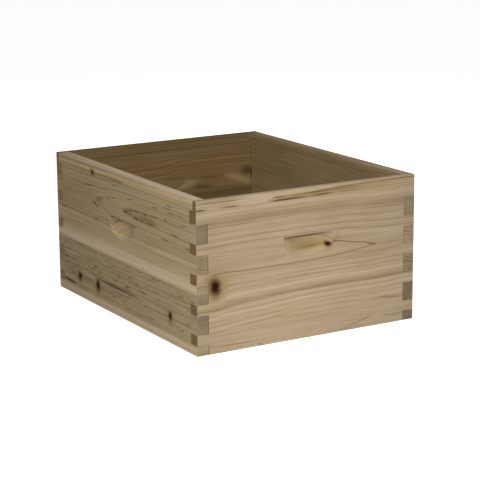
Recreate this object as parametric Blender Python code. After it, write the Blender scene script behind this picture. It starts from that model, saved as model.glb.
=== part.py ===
"""Deep brood box of a ten-frame Langstroth beehive: four finger-jointed boards of glued-up planks.

Four boards stand on edge: an end board in front and behind, a side board at the left and right.
Their corners lock together with rectangular fingers. Each board is edge-glued from two or three
planks, and every plank is its own closed solid. The box is open at the top and the bottom.

World frame, in metres: the origin is the centre of the bottom rim, +Z is up, +X runs across the
width to the right and +Y along the length to the rear. Each board is drawn in its own frame: the
origin at the bottom middle of its outer face, x along the board, y into the box and z up.
"""

import math

import bmesh
import bpy

# ---- Driving dimensions ----
BODY_LENGTH = 0.505
BODY_WIDTH = 0.410
BODY_HEIGHT = 0.245
BOARD = 0.020

# Finger joint, counted from the bottom rim: half a side-board finger, then equal pitches.
BOTTOM_FINGER = 0.0165
END_FINGER = 0.017
SIDE_FINGER = 0.031
END_FINGERS = 5

# Frame rest: a step along the inner top edge of both end boards.
REST_DEPTH = 0.016
REST_WIDTH = 0.010

# Hand-hold: a scoop under a straight ledge, in the middle of each board.
LEDGE_HEIGHT = 0.170
SCOOP_HALF_WIDTH = 0.0485
SCOOP_DROP = 0.034
SCOOP_DEPTH = 0.012
SCOOP_FALL = 2.5

# Thickness of the glue film between planks, and between a finger and its notch.
GLUE = 0.0003

# Heights of the glue lines between the planks of each board.
FRONT_BOTTOM_LINE = 0.034
REAR_LINE = 0.212
LEFT_LINE = 0.133
RIGHT_LINE = 0.097

# ---- Sizes that follow ----
HALF_LENGTH = BODY_LENGTH / 2
HALF_WIDTH = BODY_WIDTH / 2
REST_HEIGHT = BODY_HEIGHT - REST_DEPTH
FINGER_PITCH = END_FINGER + SIDE_FINGER
LIP = BOARD - REST_WIDTH
REST_HALF_LENGTH = HALF_WIDTH - BOARD - GLUE

# ---- Cutters: how far they run past the wood, and how fine the scoop is ----
MARGIN = BOARD
SCOOP_RINGS = 10
SCOOP_SPOKES = 28
SCOOP_OVERSHOOT = 1.12

# ---- Wood ----
ROUGHNESS = 0.72
SAPWOOD = (0.56, 0.46, 0.31)
PINK_HEARTWOOD = (0.52, 0.40, 0.27)
GOLDEN_HEARTWOOD = (0.47, 0.34, 0.19)
GREY_HEARTWOOD = (0.44, 0.35, 0.24)


def clear_scene():
    """Remove every object, so that the script gives the same result each time."""
    for old in list(bpy.data.objects):
        bpy.data.objects.remove(old, do_unlink=True)


def wood(name, colour):
    """Bare planed softwood of one colour."""
    material = bpy.data.materials.new(name)
    material.use_nodes = True
    material.diffuse_color = (*colour, 1.0)
    shader = material.node_tree.nodes["Principled BSDF"]
    shader.inputs["Base Color"].default_value = (*colour, 1.0)
    shader.inputs["Roughness"].default_value = ROUGHNESS
    shader.inputs["Metallic"].default_value = 0.0
    return material


def board_frame(name, x, y, turn):
    """Empty at the bottom middle of a board's outer face, its y axis pointing into the box."""
    frame = bpy.data.objects.new(name, None)
    frame.location = (x, y, 0.0)
    frame.rotation_euler = (0.0, 0.0, turn)
    bpy.context.scene.collection.objects.link(frame)
    return frame


def end_finger_levels():
    """Bottom and top of each end-board finger, from the bottom rim up."""
    levels = []
    for index in range(END_FINGERS):
        low = BOTTOM_FINGER + index * FINGER_PITCH
        levels.append((low, low + END_FINGER))
    top_finger_low = levels[-1][0]
    levels[-1] = (top_finger_low, BODY_HEIGHT)
    return levels


def end_board_bands():
    """Height bands (low, high, reach) of an end board, with its reach from the board's middle."""
    tip = HALF_WIDTH
    root = HALF_WIDTH - BOARD - GLUE
    bands = []
    level = 0.0
    for low, high in end_finger_levels():
        bands.append((level, low, root))
        bands.append((low, high, tip))
        level = high
    return bands


def side_board_bands():
    """Height bands of a side board, which fills the end board's notches and its rest's ends."""
    tip = HALF_LENGTH
    root = HALF_LENGTH - BOARD - GLUE
    bands = []
    level = 0.0
    for low, high in end_finger_levels():
        bands.append((level, low - GLUE, tip))
        bands.append((low - GLUE, high + GLUE, root))
        level = high + GLUE
    top_notch_low = bands[-1][0]
    bands[-1] = (top_notch_low, REST_HEIGHT, root)
    bands.append((REST_HEIGHT, BODY_HEIGHT, HALF_LENGTH - LIP - GLUE))
    return bands


def plank_outline(bands, low, high):
    """Corners (x, z) of the part of a board between two heights, from its low right corner."""
    right_end = []
    for band_low, band_high, reach in bands:
        start = max(band_low, low)
        end = min(band_high, high)
        if end > start:
            right_end.append((reach, start))
            right_end.append((reach, end))
    left_end = [(-x, z) for x, z in reversed(right_end)]
    return right_end + left_end


def mesh_object(name, shape, frame):
    """Object made from a bmesh, linked to the scene and parented to its board's frame."""
    mesh = bpy.data.meshes.new(name)
    shape.to_mesh(mesh)
    shape.free()
    item = bpy.data.objects.new(name, mesh)
    item.parent = frame
    bpy.context.scene.collection.objects.link(item)
    return item


def add_plank(frame, name, outline, colour, thickness=BOARD):
    """Plank with the given outline on its outer face, extruded into the box, in its own wood."""
    shape = bmesh.new()
    corners = [shape.verts.new((x, 0.0, z)) for x, z in outline]
    face = shape.faces.new(corners)
    extrusion = bmesh.ops.extrude_face_region(shape, geom=[face])
    inner_corners = [item for item in extrusion["geom"] if isinstance(item, bmesh.types.BMVert)]
    bmesh.ops.translate(shape, verts=inner_corners, vec=(0.0, thickness, 0.0))
    bmesh.ops.recalc_face_normals(shape, faces=shape.faces)
    plank = mesh_object(name, shape, frame)
    plank.data.materials.append(wood(name + "_wood", colour))
    return plank


def cut(plank, frame, name, shape):
    """Take the volume of a bmesh, drawn in the board's frame, away from the plank."""
    cutter = mesh_object(name, shape, frame)
    cutter.display_type = "WIRE"
    cutter.hide_render = True
    modifier = plank.modifiers.new(name, "BOOLEAN")
    modifier.operation = "DIFFERENCE"
    modifier.solver = "EXACT"
    modifier.object = cutter


def prism_shape(outline, low):
    """Upright prism over a ground outline (x, y), from a height to well above the body."""
    shape = bmesh.new()
    corners = [shape.verts.new((x, y, low)) for x, y in outline]
    face = shape.faces.new(corners)
    extrusion = bmesh.ops.extrude_face_region(shape, geom=[face])
    top_corners = [item for item in extrusion["geom"] if isinstance(item, bmesh.types.BMVert)]
    bmesh.ops.translate(shape, verts=top_corners, vec=(0.0, 0.0, BODY_HEIGHT + MARGIN - low))
    bmesh.ops.recalc_face_normals(shape, faces=shape.faces)
    return shape


def rectangle(left, right, outer, inner):
    """Ground outline of a box."""
    return [(left, outer), (right, outer), (right, inner), (left, inner)]


def cut_frame_rest(plank, frame, name):
    """Take the frame rest out of an end board's inner top edge, in full where frames hang.

    Its two ends lie under the side boards, and are deeper by a glue film.
    """
    side = HALF_WIDTH + MARGIN
    inner = BOARD + MARGIN
    rest = prism_shape(rectangle(-side, side, LIP, inner), REST_HEIGHT)
    left_seat = prism_shape(rectangle(-side, -REST_HALF_LENGTH, LIP, inner), REST_HEIGHT - GLUE)
    right_seat = prism_shape(rectangle(REST_HALF_LENGTH, side, LIP, inner), REST_HEIGHT - GLUE)
    cut(plank, frame, name + "_rest_cutter", rest)
    cut(plank, frame, name + "_left_seat_cutter", left_seat)
    cut(plank, frame, name + "_right_seat_cutter", right_seat)


def cut_strip_seat(plank, frame, name):
    """Lower a plank's top by a glue film all round the rest, under the top strip and side boards."""
    side = HALF_WIDTH + MARGIN
    inner = BOARD + MARGIN
    outline = [
        (-side, -MARGIN),
        (side, -MARGIN),
        (side, inner),
        (REST_HALF_LENGTH, inner),
        (REST_HALF_LENGTH, LIP),
        (-REST_HALF_LENGTH, LIP),
        (-REST_HALF_LENGTH, inner),
        (-side, inner),
    ]
    cut(plank, frame, name + "_seat_cutter", prism_shape(outline, REST_HEIGHT - GLUE))


def scoop_point(ring, angle):
    """Point on the scoop: ring 0 is its deepest point, under the ledge, and ring 1 its outline."""
    across = SCOOP_HALF_WIDTH * ring * math.cos(angle)
    drop = SCOOP_DROP * (ring * math.sin(angle)) ** (2 / SCOOP_FALL)
    depth = SCOOP_DEPTH * (1 - ring * ring)
    return (across, depth, LEDGE_HEIGHT - drop)


def scoop_shape():
    """Bowl below a flat ledge, carried a little past the outer face and closed there."""
    shape = bmesh.new()
    angles = [math.pi * spoke / SCOOP_SPOKES for spoke in range(SCOOP_SPOKES + 1)]
    deepest = shape.verts.new(scoop_point(0.0, 0.0))
    rows = []
    for ring in range(1, SCOOP_RINGS + 1):
        size = SCOOP_OVERSHOOT * ring / SCOOP_RINGS
        rows.append([shape.verts.new(scoop_point(size, angle)) for angle in angles])
    for spoke in range(SCOOP_SPOKES):
        shape.faces.new((deepest, rows[0][spoke], rows[0][spoke + 1]))
        for inner, outer in zip(rows, rows[1:]):
            shape.faces.new((inner[spoke], outer[spoke], outer[spoke + 1], inner[spoke + 1]))
    outer_cap = rows[-1]
    shape.faces.new(outer_cap)
    right_edge = [row[0] for row in reversed(rows)]
    left_edge = [row[-1] for row in rows]
    shape.faces.new(right_edge + [deepest] + left_edge)
    bmesh.ops.recalc_face_normals(shape, faces=shape.faces)
    return shape


def cut_hand_hold(plank, frame, name):
    """Scoop the hand-hold out of a board's outer face."""
    cut(plank, frame, name + "_hand_hold_cutter", scoop_shape())


def build_front_board():
    """Short end board in front: a bottom strip, the main plank and a top strip outside the rest."""
    frame = board_frame("front_board", 0.0, -HALF_LENGTH, 0.0)
    bands = end_board_bands()
    bottom = plank_outline(bands, 0.0, FRONT_BOTTOM_LINE - GLUE / 2)
    middle = plank_outline(bands, FRONT_BOTTOM_LINE + GLUE / 2, REST_HEIGHT)
    top = plank_outline(bands, REST_HEIGHT, BODY_HEIGHT)
    add_plank(frame, "front_board_bottom_strip", bottom, SAPWOOD)
    main_plank = add_plank(frame, "front_board_main_plank", middle, PINK_HEARTWOOD)
    add_plank(frame, "front_board_top_strip", top, GOLDEN_HEARTWOOD, thickness=LIP)
    cut_strip_seat(main_plank, frame, "front")
    cut_hand_hold(main_plank, frame, "front")


def build_rear_board():
    """Short end board behind: the main plank, and a top strip that holds the whole rest."""
    frame = board_frame("rear_board", 0.0, HALF_LENGTH, math.pi)
    bands = end_board_bands()
    lower = plank_outline(bands, 0.0, REAR_LINE - GLUE / 2)
    upper = plank_outline(bands, REAR_LINE + GLUE / 2, BODY_HEIGHT)
    main_plank = add_plank(frame, "rear_board_main_plank", lower, GOLDEN_HEARTWOOD)
    top_strip = add_plank(frame, "rear_board_top_strip", upper, SAPWOOD)
    cut_frame_rest(top_strip, frame, "rear")
    cut_hand_hold(main_plank, frame, "rear")


def build_side_board(side, x, turn, glue_line, lower_wood, upper_wood):
    """Long side board of two planks, with the hand-hold in the upper one."""
    frame = board_frame(side + "_board", x, 0.0, turn)
    bands = side_board_bands()
    lower = plank_outline(bands, 0.0, glue_line - GLUE / 2)
    upper = plank_outline(bands, glue_line + GLUE / 2, BODY_HEIGHT)
    add_plank(frame, side + "_board_lower_plank", lower, lower_wood)
    upper_plank = add_plank(frame, side + "_board_upper_plank", upper, upper_wood)
    cut_hand_hold(upper_plank, frame, side)


clear_scene()
build_front_board()
build_rear_board()
build_side_board("left", -HALF_WIDTH, -math.pi / 2, LEFT_LINE, GREY_HEARTWOOD, PINK_HEARTWOOD)
build_side_board("right", HALF_WIDTH, math.pi / 2, RIGHT_LINE, GREY_HEARTWOOD, PINK_HEARTWOOD)
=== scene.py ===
"""Looks of the deep beehive body: bare fir boards, finger joints, scooped hand-holds.

Every CAD plank is replaced by a finer plank of the same place and size. A plank is drawn in its
board's own frame: u runs along the board from its left end as seen from outside, w goes from the
outer face into the box, and v is the height. All three are in millimetres in the materials.
"""

import itertools
import math
import random
from collections import namedtuple

import bmesh
import bpy
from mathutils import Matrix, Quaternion, Vector


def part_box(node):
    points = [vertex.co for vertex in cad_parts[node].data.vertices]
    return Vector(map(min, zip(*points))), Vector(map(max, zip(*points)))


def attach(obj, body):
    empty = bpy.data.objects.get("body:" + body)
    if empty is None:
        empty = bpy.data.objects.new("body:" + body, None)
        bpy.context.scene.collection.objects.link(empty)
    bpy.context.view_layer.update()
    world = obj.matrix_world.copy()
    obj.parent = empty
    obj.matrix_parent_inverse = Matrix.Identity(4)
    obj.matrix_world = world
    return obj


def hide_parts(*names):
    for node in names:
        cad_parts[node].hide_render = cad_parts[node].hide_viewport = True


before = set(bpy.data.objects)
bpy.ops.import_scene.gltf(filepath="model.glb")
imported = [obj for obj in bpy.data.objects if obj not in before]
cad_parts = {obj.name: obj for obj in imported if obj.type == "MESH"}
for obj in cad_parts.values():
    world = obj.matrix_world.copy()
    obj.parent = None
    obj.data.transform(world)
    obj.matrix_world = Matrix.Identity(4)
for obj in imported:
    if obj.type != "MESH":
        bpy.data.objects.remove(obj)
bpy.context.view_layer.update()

MM = 0.001

# ---- Sizes read from the frame, in millimetres ----
STRIP_LOW, STRIP_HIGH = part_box("front_board_top_strip")
SIDE_LOW, SIDE_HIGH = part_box("left_board_upper_plank")
HALF_WIDTH = -SIDE_LOW.x / MM
HALF_LENGTH = SIDE_HIGH.y / MM
HEIGHT = SIDE_HIGH.z / MM
LIP = (STRIP_HIGH.y - STRIP_LOW.y) / MM
REST_HEIGHT = STRIP_LOW.z / MM
BOARD = (SIDE_HIGH.x - SIDE_LOW.x) / MM

# ---- Finger joint and hand-hold, as in the CAD ----
BOTTOM_FINGER = 16.5
END_FINGER = 17.0
SIDE_FINGER = 31.0
END_FINGERS = 5
LEDGE_HEIGHT = 170.0
SCOOP_HALF_WIDTH = 48.5
SCOOP_DROP = 34.0
SCOOP_DEPTH = 12.0
SCOOP_FALL = 2.5

# ---- How loosely the real joints fit, and how far edges are eased ----
ROOT_GAP = 0.7
CHEEK_GAP = 0.15
GLUE_LINE = 0.05
EAR = 0.9
FINGER_SHY = 0.15
EASED_EDGE = 0.35

# ---- How finely the cut shapes are made ----
SCOOP_RINGS = 28
SCOOP_SPOKES = 72
SCOOP_OVERSHOOT = 1.10
PIT_POINTS = 22
PIT_RIM_SIZES = (0.78, 1.12)
PIT_WAIST_DEPTHS = (0.55, 0.85)
PIT_WAIST_SIZE = 0.6
CRISP_ANGLE = 20
SAME_HEIGHT = 0.01

Board = namedtuple("Board", "name corner along inward length")
Pit = namedtuple("Pit", "u v half_u half_v depth")

FRONT = Board("front", (-HALF_WIDTH, -HALF_LENGTH), (1, 0), (0, 1), 2 * HALF_WIDTH)
REAR = Board("rear", (HALF_WIDTH, HALF_LENGTH), (-1, 0), (0, -1), 2 * HALF_WIDTH)
LEFT = Board("left", (-HALF_WIDTH, HALF_LENGTH), (0, -1), (1, 0), 2 * HALF_LENGTH)
RIGHT = Board("right", (HALF_WIDTH, -HALF_LENGTH), (0, 1), (-1, 0), 2 * HALF_LENGTH)


# -------- Planks --------

def to_row(board, u, w, v):
    """Point of a board's frame, in millimetres, as a point of the row frame, in metres."""
    x = board.corner[0] + u * board.along[0] + w * board.inward[0]
    y = board.corner[1] + u * board.along[1] + w * board.inward[1]
    return Vector((x, y, v)) * MM


def end_finger_levels():
    """Bottom and top of each end-board finger."""
    pitch = END_FINGER + SIDE_FINGER
    levels = []
    for index in range(END_FINGERS):
        low = BOTTOM_FINGER + index * pitch
        levels.append((low, low + END_FINGER))
    levels[-1] = (levels[-1][0], HEIGHT)
    return levels


def end_board_steps():
    """Heights and insets of an end board's end: 0 at a finger, the board's thickness in a notch."""
    steps = []
    level = 0.0
    for low, high in end_finger_levels():
        steps.append((level, low, BOARD + ROOT_GAP))
        steps.append((low, high, FINGER_SHY))
        level = high
    return steps


def side_board_steps():
    """The same for a side board, whose fingers fill the end board's notches."""
    steps = []
    level = 0.0
    for low, high in end_finger_levels():
        steps.append((level, low - CHEEK_GAP, FINGER_SHY))
        steps.append((low - CHEEK_GAP, high + CHEEK_GAP, BOARD + ROOT_GAP))
        level = high + CHEEK_GAP
    steps[-1] = (steps[-1][0], REST_HEIGHT + CHEEK_GAP, BOARD + ROOT_GAP)
    steps.append((REST_HEIGHT + CHEEK_GAP, HEIGHT, LIP + CHEEK_GAP))
    return steps


def end_profile(steps, low, high):
    """Points (inset, v) up one end of a plank, with the saw's small ears in the notch corners."""
    points = []
    for step_low, step_high, inset in steps:
        start, stop = max(step_low, low), min(step_high, high)
        if stop - start <= 0:
            continue
        has_ears = inset > BOARD and stop - start > 2 * EAR
        if has_ears and start == step_low and start > 0:
            points += [(inset + EAR, start), (inset, start + EAR)]
        else:
            points.append((inset, start))
        if has_ears and stop == step_high and stop < HEIGHT:
            points += [(inset, stop - EAR), (inset + EAR, stop)]
        else:
            points.append((inset, stop))
    return points


def on_glue_line(edge, glue_heights):
    """True if an edge lies in a glued face, which was planed flush with its neighbour."""
    heights = [vertex.co.z / MM for vertex in edge.verts]
    return any(all(abs(v - glue) < SAME_HEIGHT for v in heights) for glue in glue_heights)


def plank_shape(board, steps, low, high, glue_heights, w_high):
    """Closed bmesh of a plank with eased edges, in the row frame."""
    left = end_profile(steps, low, high)
    outline = [(board.length - inset, v) for inset, v in left]
    outline += [(inset, v) for inset, v in reversed(left)]
    shape = bmesh.new()
    outer = [shape.verts.new(to_row(board, u, 0.0, v)) for u, v in outline]
    inner = [shape.verts.new(to_row(board, u, w_high, v)) for u, v in outline]
    shape.faces.new(outer)
    shape.faces.new(inner[::-1])
    count = len(outline)
    for index in range(count):
        after = (index + 1) % count
        shape.faces.new((outer[after], outer[index], inner[index], inner[after]))
    bmesh.ops.recalc_face_normals(shape, faces=shape.faces)
    eased = [edge for edge in shape.edges if not on_glue_line(edge, glue_heights)]
    bmesh.ops.bevel(
        shape,
        geom=eased,
        offset=EASED_EDGE * MM,
        segments=2,
        profile=0.5,
        affect="EDGES",
        clamp_overlap=True,
    )
    return shape


def scoop_shape(board):
    """Cutter of the hand-hold: a bowl below a flat ledge, closed outside the face."""
    middle = board.length / 2
    shape = bmesh.new()

    def vertex(ring, spoke):
        angle = math.pi * spoke / SCOOP_SPOKES
        across = SCOOP_HALF_WIDTH * ring * math.cos(angle)
        drop = SCOOP_DROP * (ring * math.sin(angle)) ** (2 / SCOOP_FALL)
        depth = SCOOP_DEPTH * (1 - ring * ring)
        return shape.verts.new(to_row(board, middle + across, depth, LEDGE_HEIGHT - drop))

    deepest = vertex(0.0, 0)
    rows = []
    for ring in range(1, SCOOP_RINGS + 1):
        size = SCOOP_OVERSHOOT * ring / SCOOP_RINGS
        rows.append([vertex(size, spoke) for spoke in range(SCOOP_SPOKES + 1)])
    for spoke in range(SCOOP_SPOKES):
        shape.faces.new((deepest, rows[0][spoke], rows[0][spoke + 1]))
        for inner, outer in zip(rows, rows[1:]):
            shape.faces.new((inner[spoke], outer[spoke], outer[spoke + 1], inner[spoke + 1]))
    shape.faces.new(rows[-1])
    shape.faces.new([row[0] for row in reversed(rows)] + [deepest] + [row[-1] for row in rows])
    bmesh.ops.recalc_face_normals(shape, faces=shape.faces)
    return shape


def box_shape(board, u_span, w_span, v_span):
    """Box in a board's frame."""
    shape = bmesh.new()
    places = itertools.product(u_span, w_span, v_span)
    corners = [shape.verts.new(to_row(board, *place)) for place in places]
    bmesh.ops.convex_hull(shape, input=corners)
    return shape


def pit_shape(board, pit):
    """Cutter of a ragged hollow in a board's face, such as a crack in a knot."""
    ragged = random.Random(f"{board.name} {pit.u} {pit.v}")
    shape = bmesh.new()
    surface = scoop_depth(board, pit.u, pit.v)
    top = shape.verts.new(to_row(board, pit.u, surface - pit.depth, pit.v))
    bottom = shape.verts.new(to_row(board, pit.u, surface + pit.depth, pit.v))
    rim, waist = [], []
    for index in range(PIT_POINTS):
        angle = 2 * math.pi * index / PIT_POINTS
        size = ragged.uniform(*PIT_RIM_SIZES)
        across = pit.half_u * size * math.cos(angle)
        up = pit.half_v * size * math.sin(angle)
        rim.append(shape.verts.new(to_row(board, pit.u + across, surface, pit.v + up)))
        low = surface + pit.depth * ragged.uniform(*PIT_WAIST_DEPTHS)
        waist_u = pit.u + across * PIT_WAIST_SIZE
        waist_v = pit.v + up * PIT_WAIST_SIZE
        waist.append(shape.verts.new(to_row(board, waist_u, low, waist_v)))
    for index in range(PIT_POINTS):
        after = (index + 1) % PIT_POINTS
        shape.faces.new((top, rim[index], rim[after]))
        shape.faces.new((rim[index], waist[index], waist[after], rim[after]))
        shape.faces.new((waist[index], bottom, waist[after]))
    bmesh.ops.recalc_face_normals(shape, faces=shape.faces)
    return shape


def scoop_depth(board, u, v):
    """How far the face is hollowed at (u, v): 0 outside the hand-hold."""
    drop = (LEDGE_HEIGHT - v) / SCOOP_DROP
    if drop <= 0:
        return 0.0
    across = (u - board.length / 2) / SCOOP_HALF_WIDTH
    return max(0.0, SCOOP_DEPTH * (1 - across ** 2 - drop ** SCOOP_FALL))


def new_object(name, data):
    """Object added to the scene."""
    item = bpy.data.objects.new(name, data)
    bpy.context.scene.collection.objects.link(item)
    return item


def mesh_object(name, shape):
    """Object made from a bmesh."""
    mesh = bpy.data.meshes.new(name)
    shape.to_mesh(mesh)
    shape.free()
    return new_object(name, mesh)


def carve(item, cutter_shape):
    """Take a bmesh's volume away from an object, for good."""
    cutter = mesh_object(item.name + "_cutter", cutter_shape)
    modifier = item.modifiers.new("carve", "BOOLEAN")
    modifier.operation = "DIFFERENCE"
    modifier.solver = "EXACT"
    modifier.object = cutter
    graph = bpy.context.evaluated_depsgraph_get()
    carved = bpy.data.meshes.new_from_object(item.evaluated_get(graph))
    item.modifiers.clear()
    item.data = carved
    bpy.data.objects.remove(cutter, do_unlink=True)


def finish_plank(item, node, material):
    """Shade the bowl smooth and the edges crisp, and let the piece stand for its CAD plank."""
    item.data.materials.clear()
    item.data.materials.append(material)
    item.data.shade_smooth()
    item.data.set_sharp_from_angle(angle=math.radians(CRISP_ANGLE))
    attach(item, "root")
    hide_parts(node)


def add_plank(board, node, steps, low, high, material,
              scooped=False, w_high=BOARD, rest=False, pits=()):
    """Finer plank that replaces one CAD plank, between two heights; pits are values of a Pit."""
    bottom = low + GLUE_LINE / 2 if low > 0 else low
    top = high - GLUE_LINE / 2 if high < HEIGHT else high
    glued = [level for level in (bottom, top) if 0 < level < HEIGHT]
    item = mesh_object(node + "_wood", plank_shape(board, steps, bottom, top, glued, w_high))
    if scooped:
        carve(item, scoop_shape(board))
    if rest:
        span = (-BOARD, board.length + BOARD)
        carve(item, box_shape(board, span, (LIP, 2 * BOARD), (REST_HEIGHT, HEIGHT + BOARD)))
    for pit in pits:
        carve(item, pit_shape(board, Pit(*pit)))
    finish_plank(item, node, material)


# -------- Materials --------

# Marks on one plank. Each spot is a slanted oval, given as the values of a Spot. Stains are pairs
# (colour name, spots): stains lie on every face, the hollow ones in the hand-hold, the inner ones on
# the face inside the box. Some of these are painted light rather than stains: a painted shadow under
# each ledge, painted light and shade on the bowl walls, and a painted shadow in the rear board's inner
# corner. flecks are (low, high, amount, spacing), and strokes are (points, half width, strength).
# Shading holds curves of brightness over height, length and end grain.
Spot = namedtuple("Spot", "u v half_u half_v strength slope", defaults=(1.0, 0.0))
Grain = namedtuple("Grain", "height depth below upper lower spacing contrast",
                   defaults=(((0, 1.0), (505, 1.0)), (), (), 7.0, 0.35))
Marks = namedtuple("Marks", "knots stains hollow_stains inner_stains hollow_strokes flecks strokes",
                   defaults=((),) * 7)
Shading = namedtuple("Shading", "height length end_height", defaults=((),) * 3)

# ---- Growth rings: how far they wander and how knots bend them, in millimetres or as shares ----
RING_WANDER = 4.0
RING_RIPPLE = 1.4
RING_JITTER = 1.6
KNOT_REACH = 0.30
KNOT_PULL = 0.5
KNOT_LIFT = 0.45
LATE_SHARPNESS = 2.5
LATE_END = 0.90

# ---- Marks ----
SPOT_SOFTNESS = 0.35
HOLLOW_SOFTNESS = 0.6
INNER_SOFTNESS = 0.8
RESIN_COVER = 0.85
FLECK_COVER = 0.95
FLECK_SIZE = 0.07
FLECK_SPREAD = 0.09
FLECK_SLIP = 6.0
HALO_FALL = 0.34
HALO_COVER = 0.95
RIM_COVER = 0.8
RIM_REACH = (1.55, 0.70)
CORE_REACH = (0.95, 0.35)

# ---- Surface ----
PLANED_ROUGHNESS = 0.63
END_ROUGHNESS = 0.14
SHEEN = 0.30
KNOT_DULLING = 0.22
BUMP_STRENGTH = 0.6
BUMP_HEIGHT = 0.15
END_ZONE = BOARD + 1.75
SEED_STEP = 2.7


class Signal:
    """A value on a node socket, so that shader formulas read like arithmetic."""

    def __init__(self, tree, socket):
        self.tree = tree
        self.socket = socket

    def math(self, operation, *others):
        """Result of a math node on this signal and others."""
        node = self.tree.nodes.new("ShaderNodeMath")
        node.operation = operation
        for slot, value in zip(node.inputs, (self, *others)):
            plug(value, slot)
        return Signal(self.tree, node.outputs[0])

    def __add__(self, other):
        return self.math("ADD", other)

    def __sub__(self, other):
        return self.math("SUBTRACT", other)

    def __mul__(self, other):
        return self.math("MULTIPLY", other)

    def __pow__(self, other):
        return self.math("POWER", other)

    __radd__ = __add__
    __rmul__ = __mul__

    def __rsub__(self, other):
        return (self * -1.0) + other

    def clamp(self):
        """The value held between 0 and 1."""
        return self.math("MAXIMUM", 0.0).math("MINIMUM", 1.0)

    def fade(self, low, high):
        """0 at low, 1 at high, with a soft start and stop."""
        node = self.tree.nodes.new("ShaderNodeMapRange")
        node.interpolation_type = "SMOOTHSTEP"
        plug(self, node.inputs["Value"])
        plug(low, node.inputs["From Min"])
        plug(high, node.inputs["From Max"])
        return Signal(self.tree, node.outputs["Result"])

    def curve(self, points):
        """Value read off a smooth curve through points (x, y)."""
        xs, ys = zip(*points)
        x_low, x_span = xs[0], xs[-1] - xs[0]
        y_low, y_span = min(ys), max(max(ys) - min(ys), 1e-6)
        node = self.tree.nodes.new("ShaderNodeFloatCurve")
        line = node.mapping.curves[0]
        while len(line.points) < len(points):
            line.points.new(0.5, 0.5)
        for point, (x, y) in zip(line.points, points):
            point.location = ((x - x_low) / x_span, (y - y_low) / y_span)
            point.handle_type = "AUTO_CLAMPED"
        node.mapping.update()
        plug((self - x_low) * (1 / x_span), node.inputs["Value"])
        return Signal(self.tree, node.outputs["Value"]) * y_span + y_low


def plug(value, slot):
    """Link a signal to a node's input, or set the input to a plain value."""
    if isinstance(value, Signal):
        value.tree.links.new(value.socket, slot)
    else:
        slot.default_value = value


def combine(tree, x, y, z):
    """Vector of three signals or numbers."""
    node = tree.nodes.new("ShaderNodeCombineXYZ")
    for slot, value in zip(node.inputs, (x, y, z)):
        plug(value, slot)
    return Signal(tree, node.outputs[0])


def vector_math(operation, *vectors):
    """Number that a vector math node gives for one or two vectors."""
    tree = vectors[0].tree
    node = tree.nodes.new("ShaderNodeVectorMath")
    node.operation = operation
    for slot, value in zip(node.inputs, vectors):
        plug(value, slot)
    return Signal(tree, node.outputs["Value"])


def blend(share, first, second, mode="MIX"):
    """Colour between two colours, either of which may be a plain (r, g, b)."""
    node = share.tree.nodes.new("ShaderNodeMix")
    node.data_type = "RGBA"
    node.blend_type = mode
    plug(share, node.inputs["Factor"])
    for value, name in ((first, "A"), (second, "B")):
        slot = [item for item in node.inputs if item.name == name and item.type == "RGBA"][0]
        plug(value if isinstance(value, Signal) else (*value, 1.0), slot)
    output = [item for item in node.outputs if item.type == "RGBA"][0]
    return Signal(share.tree, output)


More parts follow.
